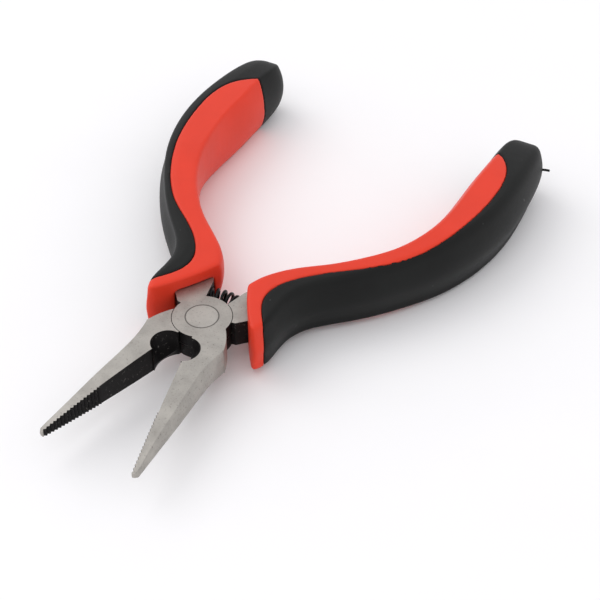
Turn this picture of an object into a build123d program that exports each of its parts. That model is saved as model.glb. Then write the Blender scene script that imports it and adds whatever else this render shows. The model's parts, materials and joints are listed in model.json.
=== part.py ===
from build123d import *
import copy
import os
from math import cos, pi, radians, sin, sqrt

# Small long-nose pliers with side cutters, a lap joint on one large rivet, a coil return
# spring between the tangs and two-tone moulded grips.  Millimetres, +Z up.
#
# Every piece is drawn with the jaws closed, in the pliers' own frame: the pivot axis is Z,
# the lap plane between the two halves is z = 0, the jaws point to -Y and the handles to +Y.
# The two halves are then swung open to the position the spring holds them at, and the tool is
# laid flat with the underside of its grips on z = 0.

# ---- driving dimensions -------------------------------------------------------------------

rest_swing = 14.2            # degrees each half stands open when nobody holds the tool

# steel halves
steel_thick = 6.4            # both halves together, at the joint and along the tangs
boss_radius = 6.5            # round boss of each half, one above the other
lap_gap = 0.05               # between the two bosses, on the lap plane
boss_gap = 0.15              # between a boss and the hollow shoulder it turns in
face_gap = 0.10              # between the two gripping faces when the jaws are closed

# jaws
jaw_length = 43.7            # pivot to tip
root_gap = 2.5               # from the boss to where the jaw starts to taper
root_width = 7.7             # from the gripping face to the outer side, at the root
tip_width = 1.45             # the same, at the tip
tip_thick = 1.9              # thickness of the jaw at the tip
tip_round = 0.6              # length of the rounded end
shoulder_angle = 21.5        # degrees below the X axis where the jaw leaves the boss

# gripping faces
tooth_pitch = 0.88
tooth_depth = 0.36
tooth_start = 28.6           # pivot to the first tooth
plain_relief = 0.25          # how far the plain stretch lies behind the teeth

# side cutters
cutter_gap = 0.5             # from the boss to the near end of the cutting edges
cutter_length = 7.1
cutter_hollow = 3.0          # how far the ground hollow reaches into each jaw on top
cutter_under = 1.2           # the same on the underside
cutter_edge_z = -1.5         # height of the cutting edges from the lap plane

# rivet
rivet_radius = 3.6           # flush head
rivet_shank = 2.5
rivet_head = 1.3             # thickness of each head
rivet_play = 0.05            # radial running clearance in the half that turns on it

# tangs and return spring
tang_gap = 2.4               # between the two tangs when the jaws are closed
tang_step = 27.0             # degrees above the X axis where the tang leaves the boss
tang_end = 66.0              # how far up the handle the steel reaches
spring_gap = 1.05            # between the boss and the outside of the coil
spring_wire = 0.7
spring_mean = 1.9            # coil radius to the middle of the wire
spring_turns = 7.5
seat_play = 0.15             # around the spring in its blind seats
seat_depth = 2.2             # depth of each blind seat
seat_end_gap = 0.05          # between the spring's end and the bottom of its seat

# grips
palm_height = 16.5           # thickest part of the grips
rest_crown = 0.12            # taken off the palm on both sides, as a flat for the tool to lie on
under_round = 1.6            # how much rounder the outer side is below than above
crease_round = 1.0           # rounding of the grips' inner long edges
end_round = 1.0              # rounding of the handle's end
cover_wall = 1.4             # soft cover outside the hard core
rim_width = 2.8              # bare rim of the hard core round the front of the collar

# ---- derived ------------------------------------------------------------------------------

half_gap = face_gap / 2
half_thick = steel_thick / 2
jaw_root = boss_radius + root_gap
cutter_start = boss_radius + cutter_gap
tooth_count = int((jaw_length - tooth_start) / tooth_pitch)
spring_outside = spring_mean + spring_wire / 2
spring_reach = boss_radius + spring_gap + spring_outside     # pivot to the spring's own axis
lap_height = palm_height / 2     # the lap plane above the surface the tool lies on


def polar(radius, angle):
    """A point at the given radius, angle in degrees from +X."""
    return (radius * cos(radians(angle)), radius * sin(radians(angle)))


def prism(outline, low, high):
    """A closed outline in plan, filled and extruded between two heights."""
    face = make_face(outline)
    return extrude(Plane.XY.offset(low) * face, high - low)


# ---- jaws ---------------------------------------------------------------------------------

def jaw_width(share):
    """Width of a jaw at a share of its taper: a straight taper."""
    return root_width + (tip_width - root_width) * share


def jaw_half_thick(share):
    """Half the thickness of a jaw: the faces curve in towards the tip."""
    return half_thick - (half_thick - tip_thick / 2) * share ** 2


def jaw_section(reach, crease, width, half):
    """Cross-section of a jaw: flat inside, top and bottom, its outer side convex."""
    outline = [
        Line((half_gap, -half), (width - crease, -half)),
        ThreePointArc((width - crease, -half), (width, 0), (width - crease, half)),
        Line((width - crease, half), (half_gap, half)),
        Line((half_gap, half), (half_gap, -half)),
    ]
    stand = Plane(origin=(0, -reach, 0), x_dir=(1, 0, 0), z_dir=(0, -1, 0))
    return stand * make_face(outline)


def jaw_nose():
    """The tapering part of a jaw, from its root to its rounded tip."""
    # the crease is faint at the root, runs well in along the jaw and closes up at the tip
    creases = [(0.0, 0.15), (0.1, 0.9), (0.23, 1.35), (0.43, 1.15), (0.66, 0.9), (0.865, 0.65), (1.0, 0.4)]
    taper = jaw_length - tip_round - jaw_root
    sections = [
        jaw_section(jaw_root + share * taper, crease, jaw_width(share), jaw_half_thick(share))
        for share, crease in creases
    ]
    last = sections[-1]
    nose = loft(sections)
    tip = jaw_section(jaw_length, 0.3, tip_width * 0.6, tip_thick * 0.3)
    return nose + loft([last, tip], ruled=True)


def jaw_root_block():
    """The full-thickness root of a jaw, from the boss down to the taper."""
    shoulder = polar(boss_radius, -shoulder_angle)
    outline = [
        Polyline((half_gap, -jaw_root), (half_gap, -boss_radius * 0.5), (boss_radius * 0.4, 0.0), shoulder),
        ThreePointArc(shoulder, (root_width - 0.4, -jaw_root * 0.66), (root_width, -jaw_root)),
        Line((root_width, -jaw_root), (half_gap, -jaw_root)),
    ]
    return prism(outline, -half_thick, half_thick)


def teeth():
    """V grooves across a gripping face."""
    grooves = []
    for index in range(tooth_count):
        start = -(tooth_start + index * tooth_pitch)
        mouth = tooth_pitch * 0.9
        outline = Polyline(
            (half_gap - 0.1, start),
            (half_gap, start),
            (half_gap + tooth_depth, start - mouth / 2),
            (half_gap, start - mouth),
            (half_gap - 0.1, start - mouth),
            close=True,
        )
        grooves.append(prism(outline, -half_thick, half_thick))
    return grooves


def plain_face():
    """The relief behind the plain stretch between the cutters and the teeth."""
    near = cutter_start + cutter_length
    centre = ((plain_relief + half_gap) / 2, -(near + tooth_start) / 2, 0)
    size = (plain_relief + half_gap, tooth_start - near, steel_thick * 1.1)
    return Pos(*centre) * Box(*size)


def cutter_outline(height, depth):
    """Plan of the ground hollow at one height, its curved side bulging into the jaw."""
    near = -cutter_start
    far = -(cutter_start + cutter_length)
    outline = [
        Line((half_gap, near), (-1.0, near)),
        Line((-1.0, near), (-1.0, far)),
        Line((-1.0, far), (half_gap, far)),
        ThreePointArc((half_gap, far), (half_gap + depth, (near + far) / 2 - 0.3), (half_gap, near)),
    ]
    return Plane.XY.offset(height) * make_face(outline)


def cutter():
    """The bevel ground from the top down to the cutting edge, and the relief under it."""
    above = half_thick + 0.4
    land = 0.05
    grow = (cutter_hollow - land) / (half_thick - cutter_edge_z)
    top = cutter_outline(above, land + grow * (above - cutter_edge_z))
    edge = cutter_outline(cutter_edge_z, land)
    shrink = (cutter_under - land) / (half_thick + cutter_edge_z)
    under = cutter_outline(-above, land + shrink * (above + cutter_edge_z))
    return [loft([edge, top], ruled=True), loft([under, edge], ruled=True)]


# ---- tangs --------------------------------------------------------------------------------

def tang():
    """The steel bar that runs up inside the grip, drawn on the +X side."""
    step = polar(boss_radius, tang_step)
    inner_start = (tang_gap / 2, boss_radius * 0.4)
    inner_turn = (tang_gap / 2, 11.0)
    inner = Spline(
        inner_turn, (2.6, 14.6), (5.0, 19.6), (9.0, 26.4), (13.6, 34.0), (17.2, 42.5), (19.0, 52.0),
        (19.4, 59.0), (19.0, tang_end), tangents=[(0, 1), (-0.08, 1)],
    )
    outer_turn = (9.0, 7.4)
    outer = Spline(
        (22.4, tang_end), (23.0, 59.0), (22.8, 52.0), (21.0, 42.5), (17.6, 33.6), (13.2, 26.0),
        (9.8, 19.0), (9.0, 12.5), outer_turn, tangents=[(0.05, -1), (-0.2, -1)],
    )
    outline = [
        Line(inner_start, inner_turn),
        inner,
        Line((19.0, tang_end), (22.4, tang_end)),
        outer,
        Polyline(outer_turn, (step[0] + 0.9, step[1] + 0.4), step, (boss_radius * 0.4, 0.0), inner_start),
    ]
    return prism(outline, -half_thick, half_thick)


def spring_seat():
    """Blind seat for one end of the return spring, drawn on the +X side."""
    radius = spring_outside + seat_play
    mouth = tang_gap / 2 - 0.5
    depth = seat_depth + 0.5
    return Pos(mouth + depth / 2, spring_reach, 0) * Rot(0, 90, 0) * Cylinder(radius, depth)


# ---- one half -----------------------------------------------------------------------------

def steel_blank():
    """One half before its cutter and rivet hole: jaw on +X, tang on -X, boss on the top side."""
    jaw = jaw_nose() + jaw_root_block()
    bar = tang() - spring_seat()
    body = jaw + mirror(bar, Plane.YZ)
    hollow_height = half_thick + 1.0
    hollow = Pos(0, 0, lap_gap / 2 - hollow_height / 2) * Cylinder(boss_radius + boss_gap, hollow_height)
    boss_height = half_thick - lap_gap / 2
    boss = Pos(0, 0, lap_gap / 2 + boss_height / 2) * Cylinder(boss_radius, boss_height)
    body = body - hollow + boss
    body = body - teeth() - plain_face()
    return body


def rivet_solid(play):
    """The rivet, or with play the hole it turns in: a shank between two flush heads."""
    shank = Cylinder(rivet_shank + play, steel_thick)
    head = Cylinder(rivet_radius + play, rivet_head + play)
    drop = half_thick - (rivet_head + play) / 2
    return shank + Pos(0, 0, drop) * head + Pos(0, 0, -drop) * head


def steel_halves():
    """The upper half (boss on top, right-hand jaw) and the lower half, jaws closed."""
    blank = steel_blank()
    upper = blank - cutter() - rivet_solid(rivet_play)
    lower = blank.rotate(Axis.Y, 180) - [mirror(tool, Plane.YZ) for tool in cutter()] - rivet_solid(0)
    return upper, lower


# ---- return spring ------------------------------------------------------------------------

def spring_axis(run, straight, arc):
    """A point of the spring's bent axis and its direction in plan, at a run along it."""
    half = radians(rest_swing)
    if run < straight:
        angle, back = half, run - straight
    elif run > straight + arc:
        angle, back = -half, run - straight - arc
    else:
        angle, back = half - (run - straight) / spring_reach, 0.0
    along = (cos(angle), sin(angle))
    foot = (-spring_reach * sin(angle), spring_reach * cos(angle))
    return (foot[0] + along[0] * back, foot[1] + along[1] * back), angle


def return_spring():
    """The coil between the tangs, bent round the pivot as the open tangs hold it."""
    straight = tang_gap / 2 + seat_depth - seat_end_gap - spring_wire / 2
    arc = spring_reach * 2 * radians(rest_swing)
    length = 2 * straight + arc
    steps = int(spring_turns * 12)
    points = []
    for index in range(steps + 1):
        share = index / steps
        (x, y), angle = spring_axis(share * length, straight, arc)
        turn = 2 * pi * spring_turns * share
        out = spring_mean * cos(turn)
        points.append((x - out * sin(angle), y + out * cos(angle), spring_mean * sin(turn)))
    path = Spline(*points)
    return sweep(Plane(path @ 0, z_dir=path % 0) * Circle(spring_wire / 2), path=path)


# ---- grips --------------------------------------------------------------------------------

# one grip on the +X side, cut across at stations from the collar to the end of the handle:
# widest point inside and widest point outside in plan, height as a share of the palm, then how
# far the flat top is set in from the inside, the flat bottom from the inside, and both from the
# outside
grip_stations = [
    ((-1.2, 9.4), (13.1, 0.4), 0.79, 2.6, 0.3, 1.5),
    ((0.15, 13.0), (14.3, 5.0), 0.79, 2.6, 0.3, 1.6),
    ((0.4, 15.8), (13.6, 9.6), 0.80, 2.8, 0.25, 2.2),
    ((1.6, 19.2), (12.9, 14.3), 0.81, 2.7, 0.3, 2.5),
    ((4.6, 23.6), (13.9, 19.7), 0.83, 2.2, 0.3, 2.5),
    ((9.1, 29.6), (17.1, 25.6), 0.85, 2.2, 0.25, 2.5),
    ((12.6, 36.0), (20.9, 32.5), 0.88, 2.7, 0.25, 2.7),
    ((15.0, 42.6), (24.3, 40.5), 0.92, 3.5, 0.25, 3.0),
    ((16.2, 50.0), (27.0, 49.3), 0.97, 3.8, 0.4, 3.3),
    ((15.8, 59.0), (28.4, 60.2), 1.00, 3.7, 0.9, 3.7),
    ((13.9, 68.0), (27.8, 70.7), 1.00, 3.4, 1.9, 3.9),
    ((11.7, 76.6), (25.8, 79.5), 0.99, 3.3, 2.1, 3.9),
    ((10.1, 84.0), (23.4, 86.6), 0.95, 3.0, 2.2, 3.7),
    ((8.7, 90.0), (20.9, 92.6), 0.86, 2.6, 2.1, 3.2),
    ((9.0, 94.6), (18.0, 96.8), 0.70, 1.9, 1.7, 2.3),
    ((11.0, 97.1), (15.3, 98.0), 0.48, 1.1, 1.1, 1.1),
]

# plan of the lines where the soft cover starts, on the two flat faces of the grip; the same
# moulding serves both handles, one of them turned over, so the two faces need not match
seam_start = (9.8, 81.6)
top_seam = [
    (13.0, 85.4), (18.3, 81.5), (22.2, 73.2), (24.3, 62.0), (24.5, 50.5), (22.0, 40.3), (16.9, 31.5),
    (10.8, 23.2), (8.3, 18.4), (7.3, 14.4), (8.0, 10.8), (10.8, 7.3), (15.0, 3.6),
]
bottom_seam = [
    (12.8, 84.4), (19.6, 79.7), (23.5, 67.5), (24.1, 57.4), (21.8, 42.6), (16.6, 31.5), (10.8, 24.2),
    (7.6, 18.6), (6.7, 14.2), (7.9, 10.3), (11.0, 7.0), (15.0, 3.6),
]

# plan of the collar's bulging front face, and the direction it is set back in
front_points = [(0.4, 13.8), (5.3, 8.3), (12.0, 2.6)]
front_back = (0.70, 0.71)


def grip_section(station, inset):
    """Cross-section of a grip: leaning inner side, flat top and bottom, round outer side."""
    (x_in, y_in), (x_out, y_out), share, top_set, bottom_set, outer_set = station
    width = sqrt((x_out - x_in) ** 2 + (y_out - y_in) ** 2)
    across = ((x_out - x_in) / width, (y_out - y_in) / width, 0)
    start = inset
    stop = width - inset
    half = (palm_height / 2 + rest_crown) * share - inset
    under_set = outer_set * under_round
    outline = [
        ThreePointArc((start + bottom_set, -half), (start, 0), (start + top_set, half)),
        Line((start + top_set, half), (stop - outer_set, half)),
        Spline(
            (stop - outer_set, half), (stop - outer_set * 0.22, half * 0.66), (stop, 0),
            (stop - under_set * 0.29, -half * 0.71), (stop - under_set, -half),
            tangents=[(1, -0.12), (-1, -0.12)],
        ),
        Line((stop - under_set, -half), (start + bottom_set, -half)),
    ]
    stand = Plane(origin=(x_in, y_in, 0), x_dir=across, z_dir=(across[1], -across[0], 0))
    return stand * make_face(outline)


def behind_front(set_back):
    """Everything behind the collar's front face, or behind a line set back from it."""
    shift_x, shift_y = set_back * front_back[0], set_back * front_back[1]
    first, middle, last = [(x + shift_x, y + shift_y) for x, y in front_points]
    outline = [
        ThreePointArc(first, middle, last),
        Polyline(last, (last[0] + 30, last[1] - 6), (last[0] + 30, 110), (-40, 110)),
        Polyline((-40, 110), (-40, first[1] + 26), first),
    ]
    return prism(outline, -palm_height, palm_height)


def grip_outside():
    """The moulded outside of a grip, its edges rounded and the palm flattened to lie on."""
    body = loft([grip_section(station, 0.0) for station in grip_stations])
    long_edges = body.edges().filter_by(lambda edge: edge.length > 60)
    creases = long_edges.sort_by(lambda edge: (edge @ 0.5).X)[:2]
    body = fillet(creases, crease_round)
    end = body.faces().filter_by(GeomType.PLANE).sort_by(Axis.Y)[-1]
    body = fillet(end.edges(), end_round) & behind_front(0.0)
    return body & Box(300, 300, palm_height)


def grip_inside():
    """The hard core under the soft cover: the same sections set in, short of the end."""
    return loft([grip_section(station, cover_wall) for station in grip_stations[:-3]]) & behind_front(0.0)


def bare_zone(seam, low, high):
    """The part of the grip where the hard core lies bare, between two heights."""
    tip = seam[0]
    far = (seam_start[0] - 12.0, seam_start[1] - 2.0)
    outline = [
        Polyline((-12.0, -6.0), far, seam_start, tip),
        Spline(*seam),
        Polyline(seam[-1], (seam[-1][0], -6.0), (-12.0, -6.0)),
    ]
    return prism(outline, low, high)


def grip_pieces():
    """The hard core and the soft cover of the grip on the +X side."""
    full = grip_outside()
    inner = grip_inside()
    tall = palm_height
    zones = [bare_zone(top_seam, 0, tall), bare_zone(bottom_seam, -tall, 0)]
    cover = (full - zones - inner) & behind_front(rim_width)
    core = full - cover - tang()
    return core, cover


# ---- assembly -----------------------------------------------------------------------------

def open_half(piece, swing):
    """A piece of one half, swung about the pivot."""
    return Rot(0, 0, swing) * piece


def pliers():
    """Every piece at the position the spring holds the tool at, still on the lap plane."""
    upper, lower = steel_halves()
    core, cover = grip_pieces()
    return {
        "lower_jaw_half": open_half(lower, -rest_swing),
        "upper_jaw_half": open_half(upper, rest_swing),
        "pivot_rivet": rivet_solid(0),
        "return_spring": return_spring(),
        "right_grip_core": open_half(core, -rest_swing),
        "right_grip_cover": open_half(cover, -rest_swing),
        "left_grip_core": open_half(core.rotate(Axis.Y, 180), rest_swing),
        "left_grip_cover": open_half(cover.rotate(Axis.Y, 180), rest_swing),
    }


if __name__ == "__main__":
    pieces = pliers()
    box = Compound(children=[copy.copy(piece) for piece in pieces.values()]).bounding_box()
    lay = Pos(-(box.min.X + box.max.X) / 2, -(box.min.Y + box.max.Y) / 2, lap_height)
    os.makedirs("parts", exist_ok=True)
    for name, piece in pieces.items():
        export_step(lay * piece, "parts/" + name + ".step")
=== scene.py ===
import json
import math

import bpy
import numpy as np
from mathutils import Matrix, Vector


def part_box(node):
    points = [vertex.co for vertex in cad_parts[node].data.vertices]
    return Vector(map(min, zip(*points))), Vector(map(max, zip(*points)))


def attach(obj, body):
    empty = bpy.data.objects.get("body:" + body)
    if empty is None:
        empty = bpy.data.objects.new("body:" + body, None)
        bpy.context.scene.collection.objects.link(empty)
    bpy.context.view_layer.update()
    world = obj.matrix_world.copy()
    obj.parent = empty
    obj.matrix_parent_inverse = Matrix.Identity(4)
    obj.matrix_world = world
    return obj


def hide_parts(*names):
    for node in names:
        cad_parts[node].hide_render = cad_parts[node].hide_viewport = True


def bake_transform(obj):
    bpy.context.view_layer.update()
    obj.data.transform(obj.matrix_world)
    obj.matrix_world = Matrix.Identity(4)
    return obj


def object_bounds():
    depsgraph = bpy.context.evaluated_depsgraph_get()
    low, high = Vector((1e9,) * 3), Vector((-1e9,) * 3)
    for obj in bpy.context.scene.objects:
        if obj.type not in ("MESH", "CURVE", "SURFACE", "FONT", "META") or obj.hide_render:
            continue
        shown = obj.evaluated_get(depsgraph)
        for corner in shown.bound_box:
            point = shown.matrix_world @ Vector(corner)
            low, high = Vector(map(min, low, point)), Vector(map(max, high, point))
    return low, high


bl_info = {
    "name": "Long-nose pliers",
    "version": (1, 1, 0),
    "blender": (4, 5, 0),
    "location": "View3D > Sidebar > Pliers",
    "description": "Builds the looks of small long-nose pliers round their CAD frame",
    "category": "Object",
}

MM = 0.001

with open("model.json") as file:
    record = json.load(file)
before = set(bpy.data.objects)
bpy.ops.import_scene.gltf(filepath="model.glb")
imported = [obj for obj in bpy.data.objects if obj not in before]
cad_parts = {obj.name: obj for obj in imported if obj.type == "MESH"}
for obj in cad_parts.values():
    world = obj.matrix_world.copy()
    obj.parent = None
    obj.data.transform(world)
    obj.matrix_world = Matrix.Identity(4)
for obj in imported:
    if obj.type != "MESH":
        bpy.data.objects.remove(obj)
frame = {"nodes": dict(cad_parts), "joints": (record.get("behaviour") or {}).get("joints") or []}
CAD_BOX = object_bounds()
PIVOT = Vector(next(j for j in frame["joints"] if j["name"] == "pivot")["pos_m"])
REST_SWING = math.radians(14.2)      # each half stands open by this much at rest

# in millimetres, in the pliers' own frame: jaws closed and pointing to -Y, pivot axis on Z
COLLAR_FRONT = ((0.4, 13.8), (5.3, 8.3), (12.0, 2.6))     # three points of its front face in plan
RIM_FADE = 1.6                       # over which the rim's rounding fades out
TIP_END = -43.0                      # the blasted end of the jaw starts here
GRIPPING_WALL = 0.75                 # how far the teeth reach into the jaw
CUTTER_NEAR, CUTTER_FAR = -6.4, -14.3
CUTTER_REACH = 4.2                   # how far the ground hollow reaches into the jaw
JOINT_REACH = 6.75                   # boss and the shoulder it turns in
TANG_START = 1.5
STUB_START = (19.0, 94.2, 1.4)       # the moulding stub on the right cover
STUB_WAY = (0.72, 0.69)
STUB_RUNS = (0.0, 0.8, 1.6, 2.2, 2.7)

STEPS_PER_TURN = 28                  # of the spring's wire

# which way each half is swung open, and the side its jaw lies on when the jaws are closed
HALVES = {"upper": (REST_SWING, 1.0), "lower": (-REST_SWING, -1.0)}


# the stage: metres, watts and degrees
FLOOR_REACH = 3.0
FLOOR_GAP = 0.02 * MM                # keeps the floor off the faces that the tool lies on
SKY_COLOUR = (0.985, 0.98, 1.0, 1.0)
SKY_STRENGTH = 0.92
LAMPS = (
    ("key_lamp", (-1.15, 0.05, 1.35), 1.1, 5.5),
    ("fill_lamp", (0.1, -0.9, 1.4), 1.0, 2.0),
)
CAMERA_LENS = 85.94
CAMERA_SENSOR = 36.0
CAMERA_CLIP = 0.01
CAMERA_TURN = math.radians(29.69)    # from +Y towards -X
CAMERA_TILT = math.radians(41.92)    # below the horizon
CAMERA_FROM_PIVOT = Vector((0.130028, -0.185719, 0.210562))


# ---- placing ------------------------------------------------------------------------------

def closed_points(points, swing):
    """Points of a half in the pliers' own frame, in millimetres, with the jaws closed."""
    turn = np.array(Matrix.Rotation(-swing, 3, "Z"))
    return (points - np.array(PIVOT)) @ turn.T / MM


def open_point(x, y, z, swing):
    """A point of the closed frame, in millimetres, where it lies at rest in the row frame."""
    return Matrix.Rotation(swing, 3, "Z") @ Vector((x * MM, y * MM, z * MM)) + PIVOT


def between(value, low, high):
    return (value > low) & (value < high)


# ---- materials ----------------------------------------------------------------------------

def new_material(name):
    """An empty node material with one Principled shader, and its shader."""
    material = bpy.data.materials.new(name)
    material.use_nodes = True
    tree = material.node_tree
    tree.nodes.clear()
    output = tree.nodes.new("ShaderNodeOutputMaterial")
    shader = tree.nodes.new("ShaderNodeBsdfPrincipled")
    tree.links.new(shader.outputs["BSDF"], output.inputs["Surface"])
    return material, tree, shader


def feed(tree, value, shader, socket):
    """Links a value or colour to one of the shader's sockets."""
    tree.links.new(value, shader.inputs[socket])


def object_coordinates(tree):
    return tree.nodes.new("ShaderNodeTexCoord").outputs["Object"]


def noise(tree, vector, scale, detail=4.0, roughness=0.55):
    node = tree.nodes.new("ShaderNodeTexNoise")
    node.inputs["Scale"].default_value = scale
    node.inputs["Detail"].default_value = detail
    node.inputs["Roughness"].default_value = roughness
    tree.links.new(vector, node.inputs["Vector"])
    return node.outputs["Fac"]


def ramp(tree, value, stops):
    node = tree.nodes.new("ShaderNodeValToRGB")
    elements = node.color_ramp.elements
    while len(elements) < len(stops):
        elements.new(0.5)
    for element, (position, colour) in zip(elements, stops):
        element.position = position
        element.color = (*colour, 1.0)
    tree.links.new(value, node.inputs["Fac"])
    return node.outputs["Color"]


def remap(tree, value, low, high, new_low, new_high):
    node = tree.nodes.new("ShaderNodeMapRange")
    node.inputs["From Min"].default_value = low
    node.inputs["From Max"].default_value = high
    node.inputs["To Min"].default_value = new_low
    node.inputs["To Max"].default_value = new_high
    tree.links.new(value, node.inputs["Value"])
    return node.outputs["Result"]


def mix_colour(tree, factor, first, second):
    """Mixes two colours, each a socket or a plain colour."""
    node = tree.nodes.new("ShaderNodeMix")
    node.data_type = "RGBA"
    tree.links.new(factor, node.inputs["Factor"])
    for socket, value in ((node.inputs[6], first), (node.inputs[7], second)):
        if isinstance(value, bpy.types.NodeSocket):
            tree.links.new(value, socket)
        else:
            socket.default_value = (*value, 1.0)
    return node.outputs[2]


def math_node(tree, operation, first, second):
    node = tree.nodes.new("ShaderNodeMath")
    node.operation = operation
    for socket, value in zip(node.inputs, (first, second)):
        if isinstance(value, bpy.types.NodeSocket):
            tree.links.new(value, socket)
        else:
            socket.default_value = value
    return node.outputs["Value"]


def bump(tree, shader, height, distance, strength):
    node = tree.nodes.new("ShaderNodeBump")
    node.inputs["Distance"].default_value = distance
    node.inputs["Strength"].default_value = strength
    tree.links.new(height, node.inputs["Height"])
    feed(tree, node.outputs["Normal"], shader, "Normal")


def scaled(colour, factor):
    return tuple(c * factor for c in colour)


def ring_mask(tree, place, radius, half_width):
    """One on a circle round the pivot axis, falling to nothing half a width away."""
    shift = tree.nodes.new("ShaderNodeVectorMath")
    shift.operation = "SUBTRACT"
    tree.links.new(place, shift.inputs[0])
    shift.inputs[1].default_value = PIVOT
    flat = tree.nodes.new("ShaderNodeVectorMath")
    flat.operation = "MULTIPLY"
    tree.links.new(shift.outputs["Vector"], flat.inputs[0])
    flat.inputs[1].default_value = (1.0, 1.0, 0.0)
    length = tree.nodes.new("ShaderNodeVectorMath")
    length.operation = "LENGTH"
    tree.links.new(flat.outputs["Vector"], length.inputs[0])
    offset = math_node(tree, "ABSOLUTE", math_node(tree, "SUBTRACT", length.outputs["Value"], radius), 0.0)
    return remap(tree, offset, 0.0, half_width, 1.0, 0.0)


def blasted_steel(name, colour, roughness, ring_radius):
    """Bead-blasted tool steel: fine grain, faint clouding, dark pits and painted shade in the gap round the
    rivet.
    """
    material, tree, shader = new_material(name)
    place = object_coordinates(tree)
    cloud = noise(tree, place, 240.0, 6.0, 0.6)
    base = ramp(tree, cloud, [(0.25, scaled(colour, 0.80)), (0.55, colour), (0.8, scaled(colour, 1.12))])
    pits = remap(tree, noise(tree, place, 2100.0, 4.0, 0.65), 0.58, 0.70, 0.0, 0.6)
    base = mix_colour(tree, pits, base, scaled(colour, 0.35))
    # painted shade: a thin dark ring at the rim of the rivet head, standing in for the shade in the gap
    # between the parts
    gap_shade = math_node(tree, "MULTIPLY", ring_mask(tree, place, ring_radius, 0.24 * MM), 0.85)
    base = mix_colour(tree, gap_shade, base, scaled(colour, 0.12))
    feed(tree, base, shader, "Base Color")
    grain = noise(tree, place, 3400.0, 4.0, 0.6)
    feed(tree, remap(tree, grain, 0.2, 0.8, roughness - 0.08, roughness + 0.10), shader, "Roughness")
    bump(tree, shader, grain, 0.00006, 0.8)
    shader.inputs["Metallic"].default_value = 1.0
    return material


def black_steel(name, colour, roughness):
    """Steel left black from hardening, with small bare specks and scuffs."""
    material, tree, shader = new_material(name)
    place = object_coordinates(tree)
    specks = remap(tree, noise(tree, place, 1300.0, 5.0, 0.7), 0.60, 0.72, 0.0, 0.8)
    feed(tree, mix_colour(tree, specks, colour, (0.20, 0.19, 0.175)), shader, "Base Color")
    grain = noise(tree, place, 3600.0, 3.0)
    feed(tree, remap(tree, grain, 0.2, 0.8, roughness - 0.08, roughness + 0.10), shader, "Roughness")
    bump(tree, shader, grain, 0.00004, 0.5)
    shader.inputs["Metallic"].default_value = 0.6
    shader.inputs["Specular IOR Level"].default_value = 0.25
    return material


def hard_core(name, colour, roughness):
    """Hard moulded plastic with a fine satin texture."""
    material, tree, shader = new_material(name)
    place = object_coordinates(tree)
    cloud = noise(tree, place, 90.0, 3.0)
    feed(tree, ramp(tree, cloud, [(0.3, scaled(colour, 0.92)), (0.7, colour)]), shader, "Base Color")
    grain = noise(tree, place, 3800.0, 2.0)
    feed(tree, remap(tree, grain, 0.2, 0.8, roughness - 0.05, roughness + 0.07), shader, "Roughness")
    bump(tree, shader, grain, 0.00002, 0.4)
    shader.inputs["Specular IOR Level"].default_value = 0.22
    return material


def soft_cover(name, colour, roughness):
    """Soft over-moulded rubber: fine matt grain, faint bloom and specks of dust."""
    material, tree, shader = new_material(name)
    place = object_coordinates(tree)
    cloud = noise(tree, place, 110.0, 6.0)
    base = ramp(tree, cloud, [(0.35, colour), (0.8, scaled(colour, 1.8))])
    dust = remap(tree, noise(tree, place, 620.0, 2.0, 0.4), 0.755, 0.80, 0.0, 0.5)
    feed(tree, mix_colour(tree, dust, base, (0.16, 0.16, 0.155)), shader, "Base Color")
    grain = noise(tree, place, 4600.0, 3.0)
    feed(tree, remap(tree, grain, 0.2, 0.8, roughness - 0.06, roughness + 0.08), shader, "Roughness")
    bump(tree, shader, grain, 0.00004, 0.5)
    shader.inputs["Specular IOR Level"].default_value = 0.20
    return material


def blackened_wire(name, colour, roughness):
    """Spring wire with a black oxide skin, a little worn."""
    material, tree, shader = new_material(name)
    place = object_coordinates(tree)
    cloud = noise(tree, place, 900.0, 4.0)
    feed(tree, ramp(tree, cloud, [(0.5, colour), (0.9, scaled(colour, 3.0))]), shader, "Base Color")
    feed(tree, remap(tree, cloud, 0.2, 0.8, roughness - 0.06, roughness + 0.1), shader, "Roughness")
    shader.inputs["Metallic"].default_value = 0.6
    shader.inputs["Specular IOR Level"].default_value = 0.3
    return material


def paper(name, colour):
    """Plain pale studio surface."""
    material, tree, shader = new_material(name)
    place = object_coordinates(tree)
    cloud = noise(tree, place, 40.0, 2.0)
    feed(tree, ramp(tree, cloud, [(0.3, scaled(colour, 0.99)), (0.7, colour)]), shader, "Base Color")
    shader.inputs["Roughness"].default_value = 0.8
    shader.inputs["Specular IOR Level"].default_value = 0.1
    return material


# ---- meshes -------------------------------------------------------------------------------

def link(item):
    bpy.context.scene.collection.objects.link(item)
    return item


def finish_node(node, *materials):
    """Gives a CAD node its materials."""
    item = frame["nodes"][node]
    item.data.materials.clear()
    for material in materials:
        item.data.materials.append(material)
    return item


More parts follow.
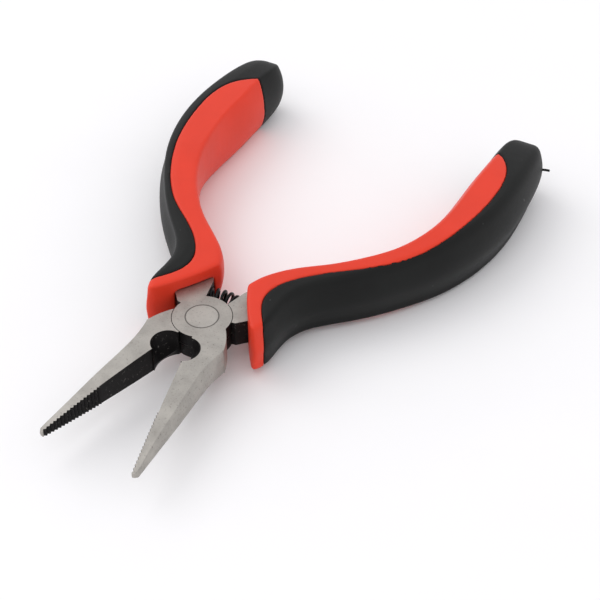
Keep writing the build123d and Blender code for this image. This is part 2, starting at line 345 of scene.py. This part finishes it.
def blacken_faces(node, swing, side):
    """Marks a half's gripping face, cutter, joint walls and tang walls as second material."""
    mesh = frame["nodes"][node].data
    count = len(mesh.polygons)
    centres = np.empty(count * 3, np.float32)
    normals = np.empty(count * 3, np.float32)
    mesh.polygons.foreach_get("center", centres)
    mesh.polygons.foreach_get("normal", normals)
    x, y, _ = (closed_points(centres.reshape(-1, 3), swing) * (side, 1.0, 1.0)).T
    turn = np.array(Matrix.Rotation(-swing, 3, "Z"))
    along_x, _, along_z = ((normals.reshape(-1, 3) @ turn.T) * (side, 1.0, 1.0)).T
    wall = np.abs(along_z) < 0.5
    inner_face = wall & between(y, TIP_END, -5.0) & (x < GRIPPING_WALL)
    cutter_place = between(y, CUTTER_FAR, CUTTER_NEAR) & (x < CUTTER_REACH)
    cutter_walls = cutter_place & (np.abs(along_z) < 0.97) & (along_x < 0.3)
    joint_walls = wall & (np.hypot(x, y) < JOINT_REACH)
    tang_walls = wall & (y > TANG_START) & (x < 0.0)
    black = inner_face | cutter_walls | joint_walls | tang_walls
    mesh.polygons.foreach_set("material_index", black.astype(np.int32))
    mesh.update()


def circle_through(first, second, third):
    """Centre and radius of the circle through three points in plan."""
    a, b, c = (np.array(p, float) for p in (first, second, third))
    rows = 2 * np.array([b - a, c - a])
    centre = np.linalg.solve(rows, [b @ b - a @ a, c @ c - a @ a])
    return centre, np.linalg.norm(a - centre)


def apply_modifiers(item):
    """Makes the modified shape the object's own mesh."""
    shape = item.evaluated_get(bpy.context.evaluated_depsgraph_get())
    mesh = bpy.data.meshes.new_from_object(shape)
    item.modifiers.clear()
    item.data = mesh


def add_smoothing(item, name, passes):
    modifier = item.modifiers.new(name, "SMOOTH")
    modifier.factor = 0.5
    modifier.iterations = passes
    return modifier


def rim_group(item, swing, reach):
    """A vertex group that is full at the collar's front and fades out behind the rim."""
    points = np.array([v.co for v in item.data.vertices], float)
    x, y, _ = closed_points(points, swing).T
    x = x * (1.0 if swing < 0 else -1.0)
    centre, radius = circle_through(*COLLAR_FRONT)
    depth = radius - np.hypot(x - centre[0], y - centre[1])
    if np.median(depth) < 0:
        depth = -depth
    share = np.clip((reach / MM - depth) / RIM_FADE, 0.0, 1.0)
    group = item.vertex_groups.new(name="rim")
    for index in np.nonzero(share > 0.0)[0]:
        group.add([int(index)], float(share[index]), "REPLACE")
    return group


def shaped_copy(node, name, swing, settings, rim):
    """A moulded copy of a CAD node with soft edges, and a rounder collar rim if asked for."""
    item = link(bpy.data.objects.new(name, frame["nodes"][node].data.copy()))
    remesh = item.modifiers.new("even skin", "REMESH")
    remesh.mode = "VOXEL"
    remesh.voxel_size = settings.skin_step
    add_smoothing(item, "soft edges", settings.edge_passes)
    apply_modifiers(item)
    if rim:
        group = rim_group(item, swing, settings.rim_reach)
        add_smoothing(item, "round rim", settings.rim_passes).vertex_group = group.name
        apply_modifiers(item)
        item.vertex_groups.clear()
    item.data.polygons.foreach_set("use_smooth", [True] * len(item.data.polygons))
    return item


def tube(name, points, radius, sides, material):
    """A round wire along a line of points, closed at both ends."""
    points = [Vector(p) for p in points]
    angles = [2 * math.pi * k / sides for k in range(sides)]
    corners = []
    up = None
    for index, point in enumerate(points):
        ahead = points[min(index + 1, len(points) - 1)]
        behind = points[max(index - 1, 0)]
        along = (ahead - behind).normalized()
        if up is None:
            up = along.cross(Vector((1, 0, 0)) if abs(along.x) < 0.9 else Vector((0, 1, 0))).normalized()
        else:
            up = (up - along * up.dot(along)).normalized()
        across = along.cross(up)
        corners += [point + (up * math.cos(a) + across * math.sin(a)) * radius for a in angles]
    faces = []
    for row in range(len(points) - 1):
        for k in range(sides):
            first, second = row * sides + k, row * sides + (k + 1) % sides
            faces.append((first, second, second + sides, first + sides))
    faces.append(tuple(range(sides))[::-1])
    faces.append(tuple(range(len(corners) - sides, len(corners))))
    mesh = bpy.data.meshes.new(name)
    mesh.from_pydata(corners, [], faces)
    mesh.materials.append(material)
    mesh.polygons.foreach_set("use_smooth", [True] * len(faces))
    mesh.update()
    return link(bpy.data.objects.new(name, mesh))


def spring_line(settings):
    """Points along the wire: a coil round an axis that is bent round the pivot between two seats."""
    reach, mean, straight = settings.spring_reach, settings.spring_mean, settings.spring_straight
    arc = reach * 2 * REST_SWING
    length = 2 * straight + arc
    steps = int(settings.spring_turns * STEPS_PER_TURN)
    points = []
    for index in range(steps + 1):
        run = length * index / steps
        angle = min(max(REST_SWING - (run - straight) / reach, -REST_SWING), REST_SWING)
        back = min(run - straight, 0.0) + max(run - straight - arc, 0.0)
        along = Vector((math.cos(angle), math.sin(angle), 0))
        foot = Vector((-reach * math.sin(angle), reach * math.cos(angle), 0))
        turn = 2 * math.pi * settings.spring_turns * index / steps
        out = Vector((-math.sin(angle), math.cos(angle), 0)) * mean * math.cos(turn)
        points.append(foot + along * back + out + Vector((0, 0, mean * math.sin(turn))) + PIVOT)
    return points


def stub_line():
    """The stub left where the rubber was moulded, drooping a little from the right grip's end."""
    x, y, z = STUB_START
    return [
        open_point(x + run * STUB_WAY[0], y + run * STUB_WAY[1], z - run * run * 0.05, -REST_SWING)
        for run in STUB_RUNS
    ]


# ---- settings -----------------------------------------------------------------------------

def colour_setting(name, description, default):
    return bpy.props.FloatVectorProperty(
        name=name, description=description, default=default, size=3, min=0.0, max=1.0, subtype="COLOR"
    )


def length_setting(name, description, default):
    return bpy.props.FloatProperty(
        name=name, description=description, default=default, unit="LENGTH", precision=5
    )


def count_setting(name, description, default):
    return bpy.props.IntProperty(name=name, description=description, default=default, min=0)


class PliersFinishSettings(bpy.types.PropertyGroup):
    steel: colour_setting("Steel", "Colour of the blasted steel halves", (0.43, 0.41, 0.378))
    black: colour_setting("Black steel", "Colour of the unblasted steel faces", (0.010, 0.009, 0.009))
    core: colour_setting("Core", "Colour of the hard inner part of the grips", (0.76, 0.046, 0.020))
    cover: colour_setting("Cover", "Colour of the soft outer part of the grips", (0.0036, 0.0040, 0.0037))
    wire: colour_setting("Spring wire", "Colour of the blackened return spring", (0.010, 0.010, 0.011))
    floor: colour_setting("Floor", "Colour of the studio floor", (0.95, 0.945, 0.95))
    skin_step: length_setting("Skin step", "Size of the even skin the grips are rebuilt with", 0.30 * MM)
    edge_passes: count_setting("Edge passes", "How often the grips' edges are softened", 5)
    rim_reach: length_setting("Rim reach", "How far behind the collar's front the rim is rounded", 2.6 * MM)
    rim_passes: count_setting("Rim passes", "How often the collar's rim is rounded", 28)
    spring_reach: length_setting("Spring reach", "Pivot axis to the spring's own axis", 9.8 * MM)
    spring_mean: length_setting("Spring mean radius", "Coil radius to the middle of the wire", 1.9 * MM)
    spring_wire: length_setting("Spring wire size", "Diameter of the spring wire", 0.7 * MM)
    spring_straight: length_setting("Spring seat run", "Straight run of the spring in each seat", 3.0 * MM)
    stub_radius: length_setting("Stub radius", "Radius of the moulding stub on the right cover", 0.3 * MM)
    spring_turns: bpy.props.FloatProperty(name="Spring turns", description="Turns of the coil", default=7.5)


# ---- operators ----------------------------------------------------------------------------

class PLIERS_OT_steel(bpy.types.Operator):
    """Finish the two steel halves and the rivet"""
    bl_idname = "pliers.steel"
    bl_label = "Steel halves"

    def execute(self, context):
        settings = context.scene.pliers_finish
        rivet_low, rivet_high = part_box("pivot_rivet")
        head = (rivet_high.x - rivet_low.x) / 2
        steel = blasted_steel("blasted steel", tuple(settings.steel), 0.50, head)
        black = black_steel("black steel", tuple(settings.black), 0.5)
        for half, (swing, side) in HALVES.items():
            finish_node(half + "_jaw_half", steel, black)
            blacken_faces(half + "_jaw_half", swing, side)
        finish_node("pivot_rivet", blasted_steel("ground rivet", scaled(settings.steel, 1.10), 0.46, head))
        return {"FINISHED"}


class PLIERS_OT_spring(bpy.types.Operator):
    """Wind the return spring between the tangs"""
    bl_idname = "pliers.spring"
    bl_label = "Return spring"

    def execute(self, context):
        settings = context.scene.pliers_finish
        wire = blackened_wire("black spring wire", tuple(settings.wire), 0.4)
        spring = tube("return_spring_coil", spring_line(settings), settings.spring_wire / 2, 12, wire)
        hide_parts("return_spring")
        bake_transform(spring)
        return {"FINISHED"}


class PLIERS_OT_grips(bpy.types.Operator):
    """Shape and finish the cores and covers of the two grips"""
    bl_idname = "pliers.grips"
    bl_label = "Grips"

    def execute(self, context):
        settings = context.scene.pliers_finish
        finishes = {
            "core": (hard_core("hard core", tuple(settings.core), 0.42), "grip_core"),
            "cover": (soft_cover("soft cover", tuple(settings.cover), 0.5), "grip_cover"),
        }
        for side, swing, body in (("left", REST_SWING, "upper_side"), ("right", -REST_SWING, "lower_side")):
            for kind, (material, slot) in finishes.items():
                node = side + "_grip_" + kind
                piece = shaped_copy(node, node + "_moulding", swing, settings, rim=kind == "core")
                piece.data.materials.clear()
                piece.data.materials.append(material)
                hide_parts(node)
                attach(piece, body)
        stub = tube("right_cover_moulding_stub", stub_line(), settings.stub_radius, 10, finishes["cover"][0])
        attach(stub, "lower_side")
        return {"FINISHED"}


def add_area(name, place, size, energy):
    """A soft square lamp aimed at the middle of the floor."""
    lamp = bpy.data.lights.new(name, "AREA")
    lamp.shape = "SQUARE"
    lamp.size = size
    lamp.energy = energy
    item = link(bpy.data.objects.new(name, lamp))
    item.location = place
    item.rotation_mode = "QUATERNION"
    item.rotation_quaternion = (-Vector(place)).to_track_quat("-Z", "Y")
    return item


class PLIERS_OT_stage(bpy.types.Operator):
    """Lay the studio floor, hang the lamps and set up the camera"""
    bl_idname = "pliers.stage"
    bl_label = "Stage"

    def execute(self, context):
        scene = context.scene
        settings = scene.pliers_finish
        mesh = bpy.data.meshes.new("studio_floor")
        corners = [(x * FLOOR_REACH, y * FLOOR_REACH, 0) for x, y in ((-1, -1), (1, -1), (1, 1), (-1, 1))]
        mesh.from_pydata(corners, [], [(0, 1, 2, 3)])
        mesh.materials.append(paper("studio paper", tuple(settings.floor)))
        floor = link(bpy.data.objects.new("studio_floor", mesh))
        floor.location.z = CAD_BOX[0].z - FLOOR_GAP

        scene.view_settings.view_transform = "Standard"
        world = bpy.data.worlds.new("studio light")
        world.use_nodes = True
        background = world.node_tree.nodes["Background"]
        background.inputs["Color"].default_value = SKY_COLOUR
        background.inputs["Strength"].default_value = SKY_STRENGTH
        scene.world = world
        for lamp in LAMPS:
            add_area(*lamp)

        camera = bpy.data.cameras.new("view_camera")
        camera.lens = CAMERA_LENS
        camera.sensor_width = CAMERA_SENSOR
        camera.clip_start = CAMERA_CLIP
        item = link(bpy.data.objects.new("view_camera", camera))
        turn, tilt = CAMERA_TURN, CAMERA_TILT
        sight = Vector((-math.sin(turn) * math.cos(tilt), math.cos(turn) * math.cos(tilt), -math.sin(tilt)))
        item.location = PIVOT + CAMERA_FROM_PIVOT
        item.rotation_mode = "QUATERNION"
        item.rotation_quaternion = sight.to_track_quat("-Z", "Y")
        scene.camera = item
        return {"FINISHED"}


class PLIERS_PT_panel(bpy.types.Panel):
    bl_idname = "PLIERS_PT_panel"
    bl_label = "Long-nose pliers"
    bl_space_type = "VIEW_3D"
    bl_region_type = "UI"
    bl_category = "Pliers"

    def draw(self, context):
        settings = context.scene.pliers_finish
        for name in PliersFinishSettings.__annotations__:
            self.layout.prop(settings, name)
        for operator in OPERATORS:
            self.layout.operator(operator)


OPERATORS = ("pliers.steel", "pliers.spring", "pliers.grips", "pliers.stage")

CLASSES = (
    PliersFinishSettings,
    PLIERS_OT_steel,
    PLIERS_OT_spring,
    PLIERS_OT_grips,
    PLIERS_OT_stage,
    PLIERS_PT_panel,
)


def register():
    for item in CLASSES:
        bpy.utils.register_class(item)
    bpy.types.Scene.pliers_finish = bpy.props.PointerProperty(type=PliersFinishSettings)


def unregister():
    del bpy.types.Scene.pliers_finish
    for item in reversed(CLASSES):
        bpy.utils.unregister_class(item)


def main():
    register()
    bpy.ops.pliers.steel()
    bpy.ops.pliers.spring()
    bpy.ops.pliers.grips()
    bpy.ops.pliers.stage()


if __name__ == "__main__":
    main()
